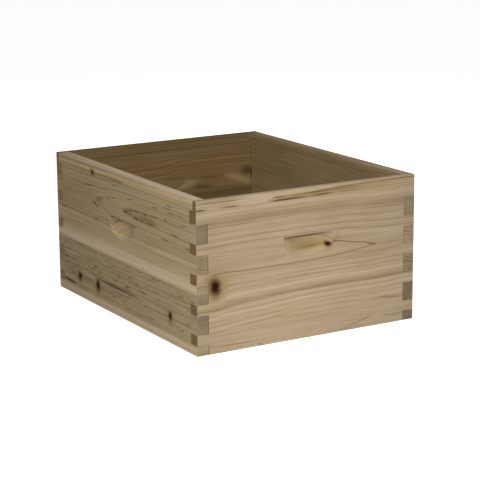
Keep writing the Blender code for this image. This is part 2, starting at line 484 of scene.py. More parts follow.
class Wood:
    """One plank's shader tree with the signals that all its colour rules share."""

    def __init__(self, name, board, seed):
        self.material = bpy.data.materials.new(name)
        self.material.use_nodes = True
        self.tree = self.material.node_tree
        self.shader = self.tree.nodes["Principled BSDF"]
        self.board = board
        self.seed = seed
        geometry = self.tree.nodes.new("ShaderNodeNewGeometry")
        self.normal = Signal(self.tree, geometry.outputs["True Normal"])
        self.u, self.v, self.w = self.axes()
        self.wander = self.noise(0.006, 0.03)
        self.ripple = self.noise(0.02, 0.13)
        self.ragged = self.noise(0.15, 0.35, detail=3.0)
        self.fibre = self.noise(0.018, 0.8, detail=4.0, roughness=0.65)
        self.fine = self.noise(0.08, 3.0, detail=3.0, roughness=0.7)
        self.cloud = self.noise(0.010, 0.04)
        self.lines = self.noise(0.003, 0.30, detail=5.0, roughness=0.7)
        u = self.u + self.ragged * 5.0 + self.ripple * 8.0
        v = self.v + self.ragged * 1.2 + self.fibre * 0.8
        self.place = combine(self.tree, u, v, 0.0)

    def axes(self):
        """Signals u, v and w of the board's frame, in millimetres."""
        place = self.tree.nodes.new("ShaderNodeTexCoord").outputs["Object"]
        split = self.tree.nodes.new("ShaderNodeSeparateXYZ")
        self.tree.links.new(place, split.inputs[0])
        x, y, z = [Signal(self.tree, socket) for socket in split.outputs]
        dx = x * (1 / MM) - self.board.corner[0]
        dy = y * (1 / MM) - self.board.corner[1]
        u = dx * self.board.along[0] + dy * self.board.along[1]
        w = dx * self.board.inward[0] + dy * self.board.inward[1]
        return u, z * (1 / MM), w

    def noise_at(self, vector, detail=2.0, roughness=0.5):
        """Smooth noise from about -0.5 to 0.5, each time another slice of it."""
        self.seed += SEED_STEP
        node = self.tree.nodes.new("ShaderNodeTexNoise")
        node.noise_dimensions = "4D"
        node.inputs["Scale"].default_value = 1.0
        node.inputs["Detail"].default_value = detail
        node.inputs["Roughness"].default_value = roughness
        node.inputs["W"].default_value = self.seed
        plug(vector, node.inputs["Vector"])
        return Signal(self.tree, node.outputs["Fac"]) - 0.5

    def noise(self, along, across, detail=2.0, roughness=0.5):
        """Noise with so many waves per millimetre along and across the grain."""
        vector = combine(self.tree, self.u * along, self.v * across, self.w * across)
        return self.noise_at(vector, detail, roughness)

    def facing(self, axis):
        """1 on faces that look along an axis of the row frame."""
        return vector_math("DOT_PRODUCT", self.normal, axis).fade(0.5, 0.9)

    def spot(self, spot):
        """Distance from the middle of a slanted oval, 1 at its rim."""
        node = self.tree.nodes.new("ShaderNodeMapping")
        node.vector_type = "TEXTURE"
        plug(self.place, node.inputs["Vector"])
        node.inputs["Location"].default_value = (spot.u, spot.v, 0.0)
        node.inputs["Rotation"].default_value = (0.0, 0.0, math.atan(spot.slope))
        node.inputs["Scale"].default_value = (spot.half_u, spot.half_v, 1.0)
        return vector_math("LENGTH", Signal(self.tree, node.outputs[0]))


def late_lines(wood, radius, lines):
    """Darkness of chosen late-wood lines, each (radius, darkness, rise, fall[, start, stop])."""
    total = radius * 0.0
    for centre, darkness, rise, fall, *reach in lines:
        line = radius.fade(centre - rise, centre) - radius.fade(centre, centre + fall)
        if reach:
            line = line * within(wood.u, *reach, 5.0)
        total = total + line * darkness
    return total


def within(value, start, stop, soft):
    """1 where a signal lies between start and stop."""
    return value.fade(start - soft, start + soft) - value.fade(stop - soft, stop + soft)


def stroke_cover(wood, strokes):
    """Thin ring lines, each drawn through points (u, v) with a half width and a strength."""
    total = wood.v * 0.0
    for points, half_width, strength in strokes:
        height = wood.u.curve(points) + wood.fibre * 0.5
        line = (wood.v - height).math("ABSOLUTE").fade(half_width, half_width * 0.2)
        line = line * within(wood.u, points[0][0], points[-1][0], 1.5)
        total = total.math("MAXIMUM", line * strength)
    return total


def ring_signals(wood, grain, knots):
    """Radius from the pith line, bent by knots, and the darkness of the growth rings there."""
    bent_v = wood.v
    lift = wood.wander * RING_WANDER + wood.ripple * RING_RIPPLE
    for knot in knots:
        distance = wood.spot(knot)
        near = (distance * distance * -KNOT_REACH).math("EXPONENT")
        bent_v = bent_v - (wood.v - knot.v) * near * KNOT_PULL
        lift = lift - near * (knot.half_v * KNOT_LIFT)
    rise = bent_v - wood.u.curve(grain.height)
    is_upper = rise.fade(-0.5, 0.5)
    rise = rise * (is_upper + (1.0 - is_upper) * wood.u.curve(grain.below))
    depth = wood.w - wood.u.curve(grain.depth)
    radius = (rise * rise + depth * depth).math("SQRT") + lift

    jitter = wood.noise_at(combine(wood.tree, radius * 0.11, 0.0, 0.0))
    saw = (radius * (1 / grain.spacing) + jitter * RING_JITTER).math("FRACT")
    late = (saw ** LATE_SHARPNESS) * (1.0 - saw.fade(LATE_END, 1.0))
    year = combine(wood.tree, wood.u * 0.006, radius * 0.08, 0.0)
    bands = late * wood.noise_at(year).fade(-0.25, 0.2)

    chosen = late_lines(wood, radius, grain.upper) * is_upper
    chosen = chosen + late_lines(wood, radius, grain.lower) * (1.0 - is_upper)
    breaks = wood.noise(0.03, 0.15, detail=3.0).fade(-0.30, 0.05)
    return radius, bands, bands * grain.contrast + chosen * (breaks * 0.5 + 0.5)


def spots_cover(wood, spots, soft=SPOT_SOFTNESS):
    """Cover of all the ovals of one list together."""
    total = None
    for spot in (Spot(*values) for values in spots):
        cover = wood.spot(spot).fade(1.0 + soft, 1.0 - soft) * spot.strength
        total = cover if total is None else total.math("MAXIMUM", cover)
    return total


def fleck_cover(wood, radius, low, high, amount, spacing):
    """Short dark resin flecks strewn along the rings between two heights."""
    node = wood.tree.nodes.new("ShaderNodeTexVoronoi")
    node.voronoi_dimensions = "2D"
    node.inputs["Scale"].default_value = 1.0
    shift = wood.noise_at(combine(wood.tree, radius * 0.4, 0.0, 0.0)) * FLECK_SLIP
    across = radius * 0.20 + wood.seed * 7.0
    plug(combine(wood.tree, wood.u * (1 / spacing) + shift, across, 0.0), node.inputs["Vector"])
    distance = Signal(wood.tree, node.outputs["Distance"])
    split = wood.tree.nodes.new("ShaderNodeSeparateColor")
    wood.tree.links.new(node.outputs["Color"], split.inputs[0])
    picked = Signal(wood.tree, split.outputs[0]).fade(1.0 - amount, 1.05 - amount)
    size = Signal(wood.tree, split.outputs[1]) * FLECK_SPREAD + FLECK_SIZE
    inside = (1.0 - (distance - size + wood.ragged * 0.05).fade(-0.03, 0.03)) * picked
    return inside * within(wood.v, low, high, 3.0)


def paint_knots(wood, colour, knots, tones):
    """Golden halo, brown rim and nearly black core of each knot, and the cover of the cores."""
    cores = wood.w * 0.0
    for knot in knots:
        distance = wood.spot(knot) + wood.ragged * 0.35
        halo = (distance * distance * -HALO_FALL).math("EXPONENT") * HALO_COVER
        colour = blend(halo, colour, tones["halo"])
        rim = (distance + wood.fibre * 0.4).fade(*RIM_REACH)
        colour = blend(rim * RIM_COVER, colour, tones["rim"])
        core = (distance + wood.fibre * 0.4).fade(*CORE_REACH)
        colour = blend(core, colour, tones["knot"])
        cores = cores.math("MAXIMUM", core)
    return colour, cores


def paint_grain(wood, rings, tones):
    """Early and late wood, shared out by the rings, the fibres and slow clouds."""
    streaks = wood.lines * 0.70 + wood.fibre * 0.50 + wood.fine * 0.24 + wood.cloud * 0.24
    share = rings + streaks * tones["streaky"] + tones["base"]
    return blend(share.clamp(), tones["early"], tones["late"])


def paint_marks(wood, colour, marks, tones, radius):
    """Stains, painted light and shade in the hand-holds, flecks and single ring lines, each laid over
    the ones before it.
    """
    for tone, spots in marks.stains:
        cover = spots_cover(wood, spots) * (wood.fibre * 1.4 + 0.85).clamp()
        colour = blend(cover.clamp(), colour, tones[tone])
    for low, high, amount, spacing in marks.flecks:
        cover = fleck_cover(wood, radius, low, high, amount, spacing)
        colour = blend(cover * FLECK_COVER, colour, tones["dark"])
    hollow = within(wood.w, 0.8, BOARD - 2.0, 0.6)
    for tone, spots in marks.hollow_stains:
        cover = spots_cover(wood, spots, HOLLOW_SOFTNESS) * hollow
        colour = blend(cover, colour, tones[tone])
    if marks.hollow_strokes:
        colour = blend(stroke_cover(wood, marks.hollow_strokes) * hollow, colour, tones["orange"])
    if marks.strokes:
        colour = blend(stroke_cover(wood, marks.strokes), colour, tones["stroke"])
    return colour


def paint_ends(wood, colour, bands, pores, tones):
    """Darker, porous end grain on the faces at the board's two ends, and where those faces are."""
    along = Vector((*wood.board.along, 0.0))
    middle = within(wood.u, END_ZONE, wood.board.length - END_ZONE, 0.25)
    ends = (wood.facing(along) + wood.facing(-along)) * (1.0 - middle)
    share = bands * 0.75 + pores * 0.7 + wood.cloud * 0.8 + wood.lines * 0.3 + 0.20
    return blend(ends, colour, blend(share.clamp(), tones["end"], tones["end_late"])), ends


def shade(wood, colour, shading, ends):
    """Broad changes of brightness over the height and the length of a plank, which on the front board
    are painted light and shade.
    """
    everywhere = wood.w * 0.0 + 1.0
    for place, curve, share in ((wood.v, shading.height, everywhere),
                                (wood.u, shading.length, everywhere),
                                (wood.v, shading.end_height, ends)):
        if curve:
            tone = place.curve(curve)
            colour = blend(share, colour, combine(wood.tree, tone, tone, tone), "MULTIPLY")
    return colour


def softwood(name, board, grain, tones, marks, shading=Shading(), seed=0.0):
    """Solid fir: rings round a pith line bent by knots, fibres, marks, and end grain."""
    wood = Wood(name, board, seed)
    inside = wood.facing((*board.inward, 0.0))
    knots = [Spot(*values) for values in marks.knots]
    radius, bands, rings = ring_signals(wood, grain, knots)
    colour = paint_grain(wood, rings, tones)
    colour = paint_marks(wood, colour, marks, tones, radius)
    colour, cores = paint_knots(wood, colour, knots, tones)
    for tone, spots in marks.inner_stains:
        cover = spots_cover(wood, spots, INNER_SOFTNESS) * inside
        colour = blend(cover, colour, tones[tone])
    pores = wood.noise(0.2, 2.2, detail=3.0, roughness=0.7)
    colour, ends = paint_ends(wood, colour, bands, pores, tones)
    colour = shade(wood, colour, shading, ends)
    # Painted light: each board's top edges are lightened or darkened by its top multiplier.
    colour = blend(wood.facing((0, 0, 1)), colour, tones["top"], "MULTIPLY")
    # Painted shade: faces inside the box are darkened by the inner multiplier.
    colour = blend(inside, colour, tones["inner"], "MULTIPLY")

    shader = wood.shader
    plug(colour, shader.inputs["Base Color"])
    plug(wood.fine * 0.2 + PLANED_ROUGHNESS + ends * END_ROUGHNESS, shader.inputs["Roughness"])
    plug(SHEEN - cores * KNOT_DULLING, shader.inputs["Specular IOR Level"])
    bump = wood.tree.nodes.new("ShaderNodeBump")
    bump.inputs["Strength"].default_value = BUMP_STRENGTH
    bump.inputs["Distance"].default_value = BUMP_HEIGHT * MM
    height = wood.fine * 0.6 + wood.fibre * 0.9 + wood.lines * 0.5 + ends * pores * 1.5
    plug(height, bump.inputs["Height"])
    wood.tree.links.new(bump.outputs["Normal"], shader.inputs["Normal"])
    return wood.material


# -------- The wood of each plank --------

PINK_FIR = {
    "base": 0.26,
    "streaky": 1.25,
    "early": (0.605, 0.47, 0.3),
    "late": (0.275, 0.16, 0.068),
    "dark": (0.06, 0.028, 0.007),
    # Painted shadow colour, laid under the hand-hold ledges.
    "shade": (0.12, 0.072, 0.045),
    "brown": (0.23, 0.14, 0.055),
    "golden": (0.4, 0.27, 0.1),
    "amber": (0.51, 0.36, 0.16),
    # Cream also serves as painted light on the hand-hold walls.
    "cream": (0.84, 0.69, 0.47),
    "orange": (0.5, 0.265, 0.085),
    "pale": (0.64, 0.52, 0.38),
    "stroke": (0.25, 0.12, 0.034),
    "halo": (0.33, 0.205, 0.05),
    "rim": (0.12, 0.052, 0.014),
    "knot": (0.032, 0.009, 0.004),
    "end": (0.345, 0.258, 0.157),
    "end_late": (0.12, 0.076, 0.038),
    # Painted light and shade: top multiplies the upward faces and inner the faces inside the box.
    "top": (1.08, 1.08, 1.1),
    "inner": (0.95, 0.92, 0.88),
}
FRONT_FIR = dict(PINK_FIR, streaky=1.5, end=(0.335, 0.228, 0.098), end_late=(0.105, 0.062, 0.023))
YELLOW_FIR = dict(FRONT_FIR, early=(0.61, 0.48, 0.31), late=(0.27, 0.165, 0.07))
GREY_FIR = dict(PINK_FIR, streaky=1.45, early=(0.655, 0.502, 0.29), late=(0.225, 0.136, 0.053))
# Painted light and shade in top and inner: the left board's top edge paler with a lilac tint, the right
# and rear top edges darker, and the right and rear boards darker inside the box.
TAN_FIR = dict(PINK_FIR, base=0.28, early=(0.655, 0.498, 0.284), late=(0.228, 0.133, 0.05),
               top=(1.05, 1.14, 1.42))
REAR_FIR = dict(FRONT_FIR, end=(0.42, 0.32, 0.19), end_late=(0.19, 0.13, 0.06),
                pale=(0.86, 0.75, 0.52), inner=(0.46, 0.39, 0.255), top=(0.4, 0.35, 0.27))
REAR_TOP_FIR = dict(REAR_FIR, inner=(0.43, 0.37, 0.245))
RIGHT_FIR = dict(GREY_FIR, end_late=(0.085, 0.052, 0.024), inner=(0.62, 0.585, 0.51),
                 top=(0.85, 0.85, 0.88))
RIGHT_LOWER_FIR = dict(RIGHT_FIR, end_late=(0.036, 0.022, 0.01))

# ---- Brightness, each a curve through (place, factor) ----
# The first two curves are painted light and shade on the front board: darker towards its top and its
# left end, and a little at its right end, evening out how the lamps fall on it.
FRONT_HEIGHTS = [(34, 1.05), (60, 1.04), (90, 1.01), (115, 0.97), (150, 0.92), (229, 0.9)]
FRONT_LENGTHS = [(0, 0.88), (40, 0.92), (100, 0.97), (200, 1.02), (330, 1.01), (410, 0.96)]
FRONT_ENDS = [(34, 1.0), (60, 0.86), (86, 0.86), (110, 0.99), (132, 0.99), (160, 1.16),
              (178, 1.16), (208, 1.04), (229, 1.04)]
LEFT_ENDS = [(0, 1.3), (17, 1.26), (32, 1.02), (140, 1.02), (160, 1.05), (180, 0.8), (229, 0.8)]
RIGHT_ENDS = [(0, 0.92), (64, 0.94), (86, 1.26), (130, 1.36), (160, 1.32), (180, 1.08),
              (229, 1.08)]


def front_main_wood():
    """Pink heart plank: a cathedral that closes to the right, one knot by the joint, one held."""
    grain = Grain(
        height=[(0, 137), (120, 140.5), (255, 141), (330, 138.5), (410, 140)],
        depth=[(0, 38), (60, 38.1), (255, 38.2), (300, 39.3), (330, 40.7), (390, 42.5), (410, 43)],
        below=[(0, 1), (110, 1.065), (246, 1.15), (390, 1.145), (410, 1.14)],
        upper=[(40, 0.5, 1.2, 0.5, 165, 251), (45.5, -0.16, 2, 2.5), (50, 0.26, 2, 0.6),
               (54, -0.16, 1.5, 1.5), (56.2, 0.24, 2, 0.6), (61, -0.16, 3, 3), (66.3, 0.24, 2.5, 0.6),
               (73.6, 0.4, 2, 1.2), (77, 0.3, 3, 12), (92, -0.25, 5, 4)],
        lower=[(43.5, 0.2, 1.5, 0.6), (48, -0.18, 1.5, 1.5), (51.5, 0.26, 1.5, 0.6),
               (57, 0.2, 2, 0.8), (64.5, -0.38, 3, 3), (78.8, 0.42, 11, 1.5), (84, -0.18, 2, 2),
               (87, 0.2, 1.5, 0.8), (91, -0.35, 2.5, 2.5), (97, 0.18, 2, 0.8), (104, 0.22, 2, 0.8),
               (108, -0.2, 2, 2), (113, 0.26, 2.5, 0.8)],
        spacing=6.5,
        contrast=0.1,
    )
    knots = [
        (32.3, 106.8, 9.6, 13.5),
        (241, 149.2, 5, 3.9, 1, 0.12),
    ]
    strokes = [
        ([(249, 153.5), (262, 151.5), (287, 147.2), (311, 143.4), (322, 140.6), (334, 138.3)],
         1.5, 0.85),
        ([(24, 122), (30, 125.5), (38, 127.2), (55, 127.6), (96, 126.5), (190, 126.7), (257, 129.7),
          (309, 134.6), (334, 138.3)], 1.7, 0.62),
        ([(212, 165.5), (232, 163.5), (242, 160.5), (249, 156), (254, 152)], 1.2, 0.5),
        ([(318, 139.6), (326, 138.6), (335, 138.2)], 1.5, 0.75),
        ([(330, 138.3), (372, 138), (409, 138.6)], 0.8, 0.4),
    ]
    hollow_stains = [
        ("amber", [(203, 154, 44, 16, 0.6)]),
        # Painted shade, partly golden wood: the second golden oval dims the bowl's right corner, which
        # faces the lamp.
        ("golden", [(205, 151, 32, 5.5, 0.5, 0.06), (251, 162, 7, 7, 0.28)]),
        ("brown", [(214, 148.6, 26, 2.8, 0.5, 0.08)]),
        # Painted light, partly the wood's cream colour: lightens the bowl's left wall, which the lamps
        # leave darker.
        ("cream", [(164, 157, 7, 11, 0.25)]),
        # Painted shadow: a dark band just under the ledge, where the overhang shades the bowl.
        ("shade", [(198, 166.8, 44, 2.6, 0.62)]),
    ]
    stains = [
        ("golden", [(257, 160, 7, 9, 0.3, -0.6)]),
        ("brown", [(252, 151, 9, 1.2, 0.5, 0.2), (33, 88, 8, 3, 0.35), (22, 118, 8, 5, 0.4, -0.5),
                   (54, 107, 14, 1.2, 0.45), (205, 35.6, 210, 0.7, 0.16, 0.004),
                   (355, 45, 50, 2, 0.25)]),
        ("dark", [(368, 43, 17, 1, 0.55, -0.04), (352, 46, 8, 0.8, 0.35), (256, 54, 3, 0.6, 0.5, -0.3)]),
    ]
    marks = Marks(knots=knots, stains=stains, hollow_stains=hollow_stains, strokes=strokes)
    shading = Shading(height=FRONT_HEIGHTS, length=FRONT_LENGTHS, end_height=FRONT_ENDS)
    return softwood("front_main_fir", FRONT, grain, FRONT_FIR, marks, shading, seed=1)


def front_bottom_wood():
    """Yellower strip with soft arcs near its right end."""
    grain = Grain(
        height=[(0, -60), (250, -55), (330, -66), (410, -58)],
        depth=[(0, 30), (410, 34)],
        spacing=5.5,
        contrast=0.26,
    )
    stains = [
        ("brown", [(62, 10.5, 45, 1, 0.6, -0.01), (205, 33.4, 210, 0.6, 0.14, 0.004),
                   (302, 12, 28, 0.8, 0.8, 0.22), (358, 14.5, 8, 0.8, 0.7, -0.3),
                   (378, 13.5, 14, 0.8, 0.7, 0.12), (300, 4.5, 60, 0.8, 0.5, 0.02)]),
        ("dark", [(114, 3, 3.2, 0.8, 0.8, -0.5), (210, 10.5, 3, 0.7, 0.5)]),
    ]
    return softwood("front_bottom_fir", FRONT, grain, YELLOW_FIR, Marks(stains=stains),
                    Shading(length=FRONT_LENGTHS), seed=31)


def front_top_wood():
    """Strip with long brown and black stains under its upper edge."""
    grain = Grain(
        height=[(0, 330), (200, 327), (410, 333)],
        depth=[(0, 26), (410, 22)],
        spacing=4.6,
        contrast=0.38,
    )
    stains = [
        ("pale", [(100, 236, 34, 10, 0.3)]),
        ("golden", [(215, 234, 75, 4.5, 0.85, 0.01), (330, 238, 90, 4, 0.6, 0.02)]),
        ("brown", [(35, 240, 48, 1.3, 0.8), (45, 243, 42, 0.9, 0.5), (60, 230.5, 18, 1.6, 0.8),
                   (235, 236.5, 75, 1.8, 0.85, 0.01), (320, 232.5, 95, 1, 0.6),
                   (330, 241, 90, 1.2, 0.7, 0.012), (205, 229.8, 210, 0.8, 0.4),
                   (30, 235, 32, 0.8, 0.5)]),
        ("dark", [(7, 230, 11, 1.5, 0.9), (168, 231.2, 34, 1.8, 0.9, 0.01),
                  (148, 236, 12, 1.4, 0.65, 0.02), (226, 231.8, 22, 1.5, 0.7, 0.012),
                  (285, 232.3, 20, 1, 0.5, 0.012), (222, 237.4, 18, 1.2, 0.55, 0.04),
                  (262, 240, 26, 1, 0.5, 0.02), (375, 241.6, 32, 0.9, 0.55), (60, 230.5, 9, 1, 0.5)]),
    ]
    return softwood("front_top_fir", FRONT, grain, YELLOW_FIR, Marks(stains=stains),
                    Shading(length=FRONT_LENGTHS), seed=47)


def left_upper_wood():
    """Tan heart plank with two nested cathedrals opening to the right, black resin flecks."""
    grain = Grain(
        height=[(0, 187), (505, 187)],
        depth=[(0, 34), (120, 32.9), (160, 32), (225, 27.7), (260, 26.5), (368, 25.3), (505, 25)],
        upper=[(26.6, 0.4, 1, 0.5), (32, 0.36, 1, 0.5), (36, 0.16, 1.5, 0.6), (40, 0.55, 1, 0.5),
               (44.6, 0.2, 1.5, 0.6), (50, 0.34, 1.5, 0.6), (55, 0.26, 1.5, 0.6), (60, -0.25, 3, 3)],
        lower=[(26.6, 0.4, 1, 0.5), (32, 0.34, 1, 0.5), (36, 0.25, 1.5, 0.6), (41, 0.35, 1, 0.5),
               (46.5, 0.45, 1, 0.5), (51, -0.2, 2, 2), (55, 0.2, 1.5, 0.6)],
        spacing=4.3,
        contrast=0.22,
    )
    knots = [(147, 232.3, 5.2, 4.2, 1, -0.3)]
    stains = [
        ("golden", [(70, 240, 90, 2.5, 0.5), (345, 185, 30, 8, 0.5), (70, 186, 110, 20, 0.35),
                    (90, 156, 100, 5, 0.25)]),
        ("pale", [(300, 222, 200, 4, 0.3)]),
        ("brown", [(110, 232.5, 100, 0.9, 0.65, -0.002), (205, 232.8, 60, 1.1, 0.75),
                   (260, 242, 240, 0.9, 0.5), (345, 186, 28, 5, 0.55), (50, 154, 60, 0.8, 0.7),
                   (100, 167, 80, 0.7, 0.6, -0.01), (400, 186, 60, 0.8, 0.5, -0.05),
                   (60, 133.6, 70, 0.7, 0.5), (252, 134, 250, 0.4, 0.25), (214, 160, 12, 8, 0.45, 0.4)]),
        ("dark", left_upper_flecks()),
    ]
    hollow_stains = [
        # Painted light: the cream ovals lighten the bowl's right wall, which faces away from the lamps.
        ("cream", [(266, 152, 28, 14, 0.3), (292, 156, 9, 16, 0.8)]),
        # Painted shadow: a dark band just under the ledge; the two slanted ovals beside it are dark
        # streaks in the same tone.
        ("shade", [(250, 168.8, 46, 2.2, 0.65), (224, 162, 9, 1.4, 0.55, 0.6),
                   (234, 163, 8, 1, 0.45, 0.6)]),
    ]
    hollow_strokes = [
        ([(230, 142), (244, 150.5), (256, 156.5), (266, 158.8), (274, 156), (280, 148)], 1.4, 0.8),
        ([(214, 143), (226, 153), (240, 162), (252, 168)], 1.2, 0.5),
        ([(222, 142), (234, 151), (246, 160), (258, 165), (270, 165), (282, 158)], 1.2, 0.45),
        ([(244, 146), (254, 152.5), (262, 154.5), (270, 151.5), (274, 146)], 1, 0.4),
    ]
    flecks = [(150, 170, 0.12, 40), (205, 228, 0.12, 46)]
    marks = Marks(knots=knots, stains=stains, hollow_stains=hollow_stains,
                  hollow_strokes=hollow_strokes, flecks=flecks)
    heights = [(125, 1.13), (146, 1.09), (152, 1.02), (230, 1.04), (236, 1.18), (245, 1.22)]
    shading = Shading(height=heights, end_height=LEFT_ENDS)
    return softwood("left_upper_fir", LEFT, grain, TAN_FIR, marks, shading, seed=62)


def left_upper_flecks():
    """Black resin pockets along the two cathedrals: u, v, half_u, half_v and any slope."""
    flecks = [
        (152, 180.2, 9, 2, -0.28), (161, 177.2, 5, 1.6, -0.5), (178, 193.5, 4, 0.9, 0.2),
        (207, 197.4, 4.5, 0.9, 0.25), (225, 201.2, 4.5, 0.9, 0.2), (282, 209, 8, 0.8, 0.1),
        (133, 163, 4, 1.2), (157, 153.8, 5.5, 1.6, 0.3), (28, 152.3, 6, 1, 0.1),
        (268, 186.3, 9, 1.5, 0.22), (287, 191.6, 5, 1.3, 0.25), (279, 184.1, 4, 0.9, -0.1),
        (305, 194, 7, 0.9, 0.1), (308, 182, 7, 1.7, -0.15), (326, 180.3, 6, 1.1, -0.1),
        (338, 194.2, 6, 1.4, 0.1), (357, 181, 18, 1.1), (370, 195.6, 5, 0.9, 0.1), (408, 197.6, 6, 1.3),
        (436, 178.7, 10, 1.1), (465, 198.6, 9, 0.8, 0.1), (370, 211.8, 9, 0.9), (425, 212, 14, 0.7),
        (420, 222.6, 11, 0.9), (302, 166.4, 7, 1), (405, 165.4, 14, 0.9), (478, 165, 9, 0.9),
        (128, 207.6, 24, 0.9, 0.09), (345, 229.5, 5, 0.7), (18, 201, 7, 1), (240, 232.6, 16, 0.7),
        (212, 167.2, 10, 0.8), (457, 212.4, 16, 0.6),
    ]
    return [(*fleck[:4], RESIN_COVER, *fleck[4:]) for fleck in flecks]


def left_lower_wood():
    """Grey-brown plank full of short dark flecks, three small knots, pale edges."""
    grain = Grain(
        height=[(0, 57), (505, 57)],
        depth=[(0, 12), (505, 12)],
        upper=[(12.4, 0.2, 1.5, 0.6), (17.7, 0.25, 1.5, 0.6), (25, 0.25, 1.5, 0.6),
               (31.4, 0.3, 1.5, 0.6), (41, 0.3, 2, 0.6), (50, -0.4, 4, 4), (61, -0.15, 4, 3)],
        lower=[(12.4, 0.3, 1.5, 0.6), (20.8, 0.25, 1.5, 0.6), (27, 0.25, 1.5, 0.6),
               (37, 0.3, 1.5, 0.6), (41.8, 0.25, 1, 0.6), (48.5, -0.35, 2, 2)],
        spacing=3.9,
        contrast=0.32,
    )
    knots = [
        (86, 38, 7.2, 7, 1, 0.3),
        (157, 36.7, 7, 9.8),
        (418, 44.5, 5.6, 7.2),
    ]
    stains = [
        ("pale", [(252, 107, 330, 9, 0.55), (252, 6, 330, 8, 0.45)]),
        ("brown", [(228, 48.6, 72, 3.4), (90, 42, 60, 3, 0.35), (180, 35.5, 22, 1, 0.7),
                   (120, 36.5, 26, 0.9, 0.6), (45, 46, 24, 1.5, 0.6), (410, 43, 34, 1, 0.55),
                   (250, 39.5, 40, 1, 0.5, 0.02), (60, 132.4, 60, 0.6, 0.4), (30, 90, 30, 2, 0.3)]),
        ("dark", [(220, 48.3, 52, 1.5, 0.6), (42, 21.5, 25, 2.6, 0.95, -0.03), (57, 38, 8, 1.4, 0.8),
                  (36, 64.5, 12, 1.2, 0.75), (80, 56.5, 6, 1.5, 0.75), (150, 68, 7, 1.5, 0.8),
                  (237, 69, 8, 1.2, 0.75), (303, 71.2, 6, 1.3, 0.8), (323, 62, 15, 1.1, 0.8, 0.02),
                  (164, 59, 5, 1.2, 0.75, 0.2), (223, 59.3, 7, 1.3, 0.75),
                  (257, 48.8, 4, 1.3, 0.75, 0.2), (249, 39.5, 7, 1, 0.6, 0.1),
                  (280, 77.8, 6, 1.1, 0.7), (365, 92.5, 12, 1, 0.55), (328, 103.5, 4, 1, 0.6, -0.4),
                  (51, 98, 5, 0.9, 0.6)]),
    ]
    flecks = [(16, 98, 0.42, 34), (20, 96, 0.32, 25)]
    marks = Marks(knots=knots, stains=stains, flecks=flecks)
    heights = [(0, 1.20), (13, 1.16), (18, 0.93), (60, 0.93), (96, 0.97), (100, 1.22), (113, 1.26),
               (122, 1.12), (134, 1.06)]
    shading = Shading(height=heights, end_height=LEFT_ENDS)
    return softwood("left_lower_fir", LEFT, grain, GREY_FIR, marks, shading, seed=85)


def rear_main_wood():
    """Golden plank whose inner face has two bright flames between dark bands."""
    grain = Grain(
        height=[(0, 158), (60, 160), (160, 158), (260, 150), (410, 154)],
        depth=[(0, 44), (110, 39), (210, 42), (410, 48)],
        upper=[(41, 0.4, 2, 1), (46, 0.3, 3, 1), (54, 0.35, 4, 1), (63, 0.3, 3, 1)],
        lower=[(41, 0.4, 2, 1), (47, 0.3, 3, 1), (56, 0.35, 4, 1), (68, 0.4, 5, 1)],
        spacing=4.4,
        contrast=0.5,
    )
    knots = [(318, 96, 9, 7.5, 1, 0.1), (74, 62, 6.5, 7, 1, 0.2)]
    stains = [("brown", [(120, 60, 60, 1.4, 0.5, 0.01), (300, 205, 80, 1.2, 0.4)])]
    inner_stains = [
        # The last three dark ovals, narrow at u 21, are a painted shadow in the inner corner by the
        # right board.
        ("dark", [(188, 176.5, 20, 2.6, 0.4), (30, 177, 13, 8, 0.75, 0.15), (112, 172, 36, 2, 0.45),
                  (124, 155, 18, 3.6, 0.5, 0.05), (60, 140, 120, 9, 0.5), (21, 218, 1.6, 10, 0.95),
                  (21, 174, 2, 11, 0.95), (21, 140, 1.6, 6, 0.9)]),
        ("pale", [(160, 161, 22, 4.5, 0.62, -0.3), (151, 165, 9, 5, 0.5, 0.2),
                  (44, 161, 22, 4.5, 0.6, 0.35), (62, 168, 13, 5.5, 0.55, 0.3)]),
        ("golden", [(110, 182, 90, 7, 0.45), (120, 199, 110, 2.5, 0.4), (100, 164, 30, 4, 0.35)]),
    ]
    marks = Marks(knots=knots, stains=stains, inner_stains=inner_stains)
    return softwood("rear_main_fir", REAR, grain, REAR_FIR, marks, seed=110)


def rear_top_wood():
    """Strip of close, even lines."""
    grain = Grain(
        height=[(0, 330), (410, 326)],
        depth=[(0, 24), (410, 30)],
        spacing=3.6,
        contrast=0.85,
    )
    stains = [("golden", [(205, 233, 200, 1.2, 0.5)]),
              ("brown", [(205, 240, 200, 1.3, 0.5)])]
    return softwood("rear_top_fir", REAR, grain, REAR_TOP_FIR, Marks(stains=stains), seed=131)


def right_upper_wood():
    """Plain plank with close lines and a few flecks."""
    grain = Grain(
        height=[(0, 40), (250, 30), (505, 44)],
        depth=[(0, 34), (505, 30)],
        spacing=6,
        contrast=0.34,
    )
    knots = [(372, 118, 7.5, 8.5, 1, -0.2)]
    stains = [("brown", [(250, 237, 240, 1, 0.5), (250, 233, 240, 0.7, 0.4), (120, 199, 120, 1.2, 0.4)]),
              ("dark", [(155, 224.5, 4, 0.9, 0.6), (316, 222, 4, 0.8, 0.6), (380, 224.5, 7, 0.8, 0.6)])]
    marks = Marks(knots=knots, stains=stains, flecks=[(105, 170, 0.15, 38)])
    heights = [(125, 0.96), (190, 0.97), (232, 1), (237, 1.12), (245, 1.14)]
    shading = Shading(height=heights, end_height=RIGHT_ENDS)
    return softwood("right_upper_fir", RIGHT, grain, RIGHT_FIR, marks, shading, seed=150)


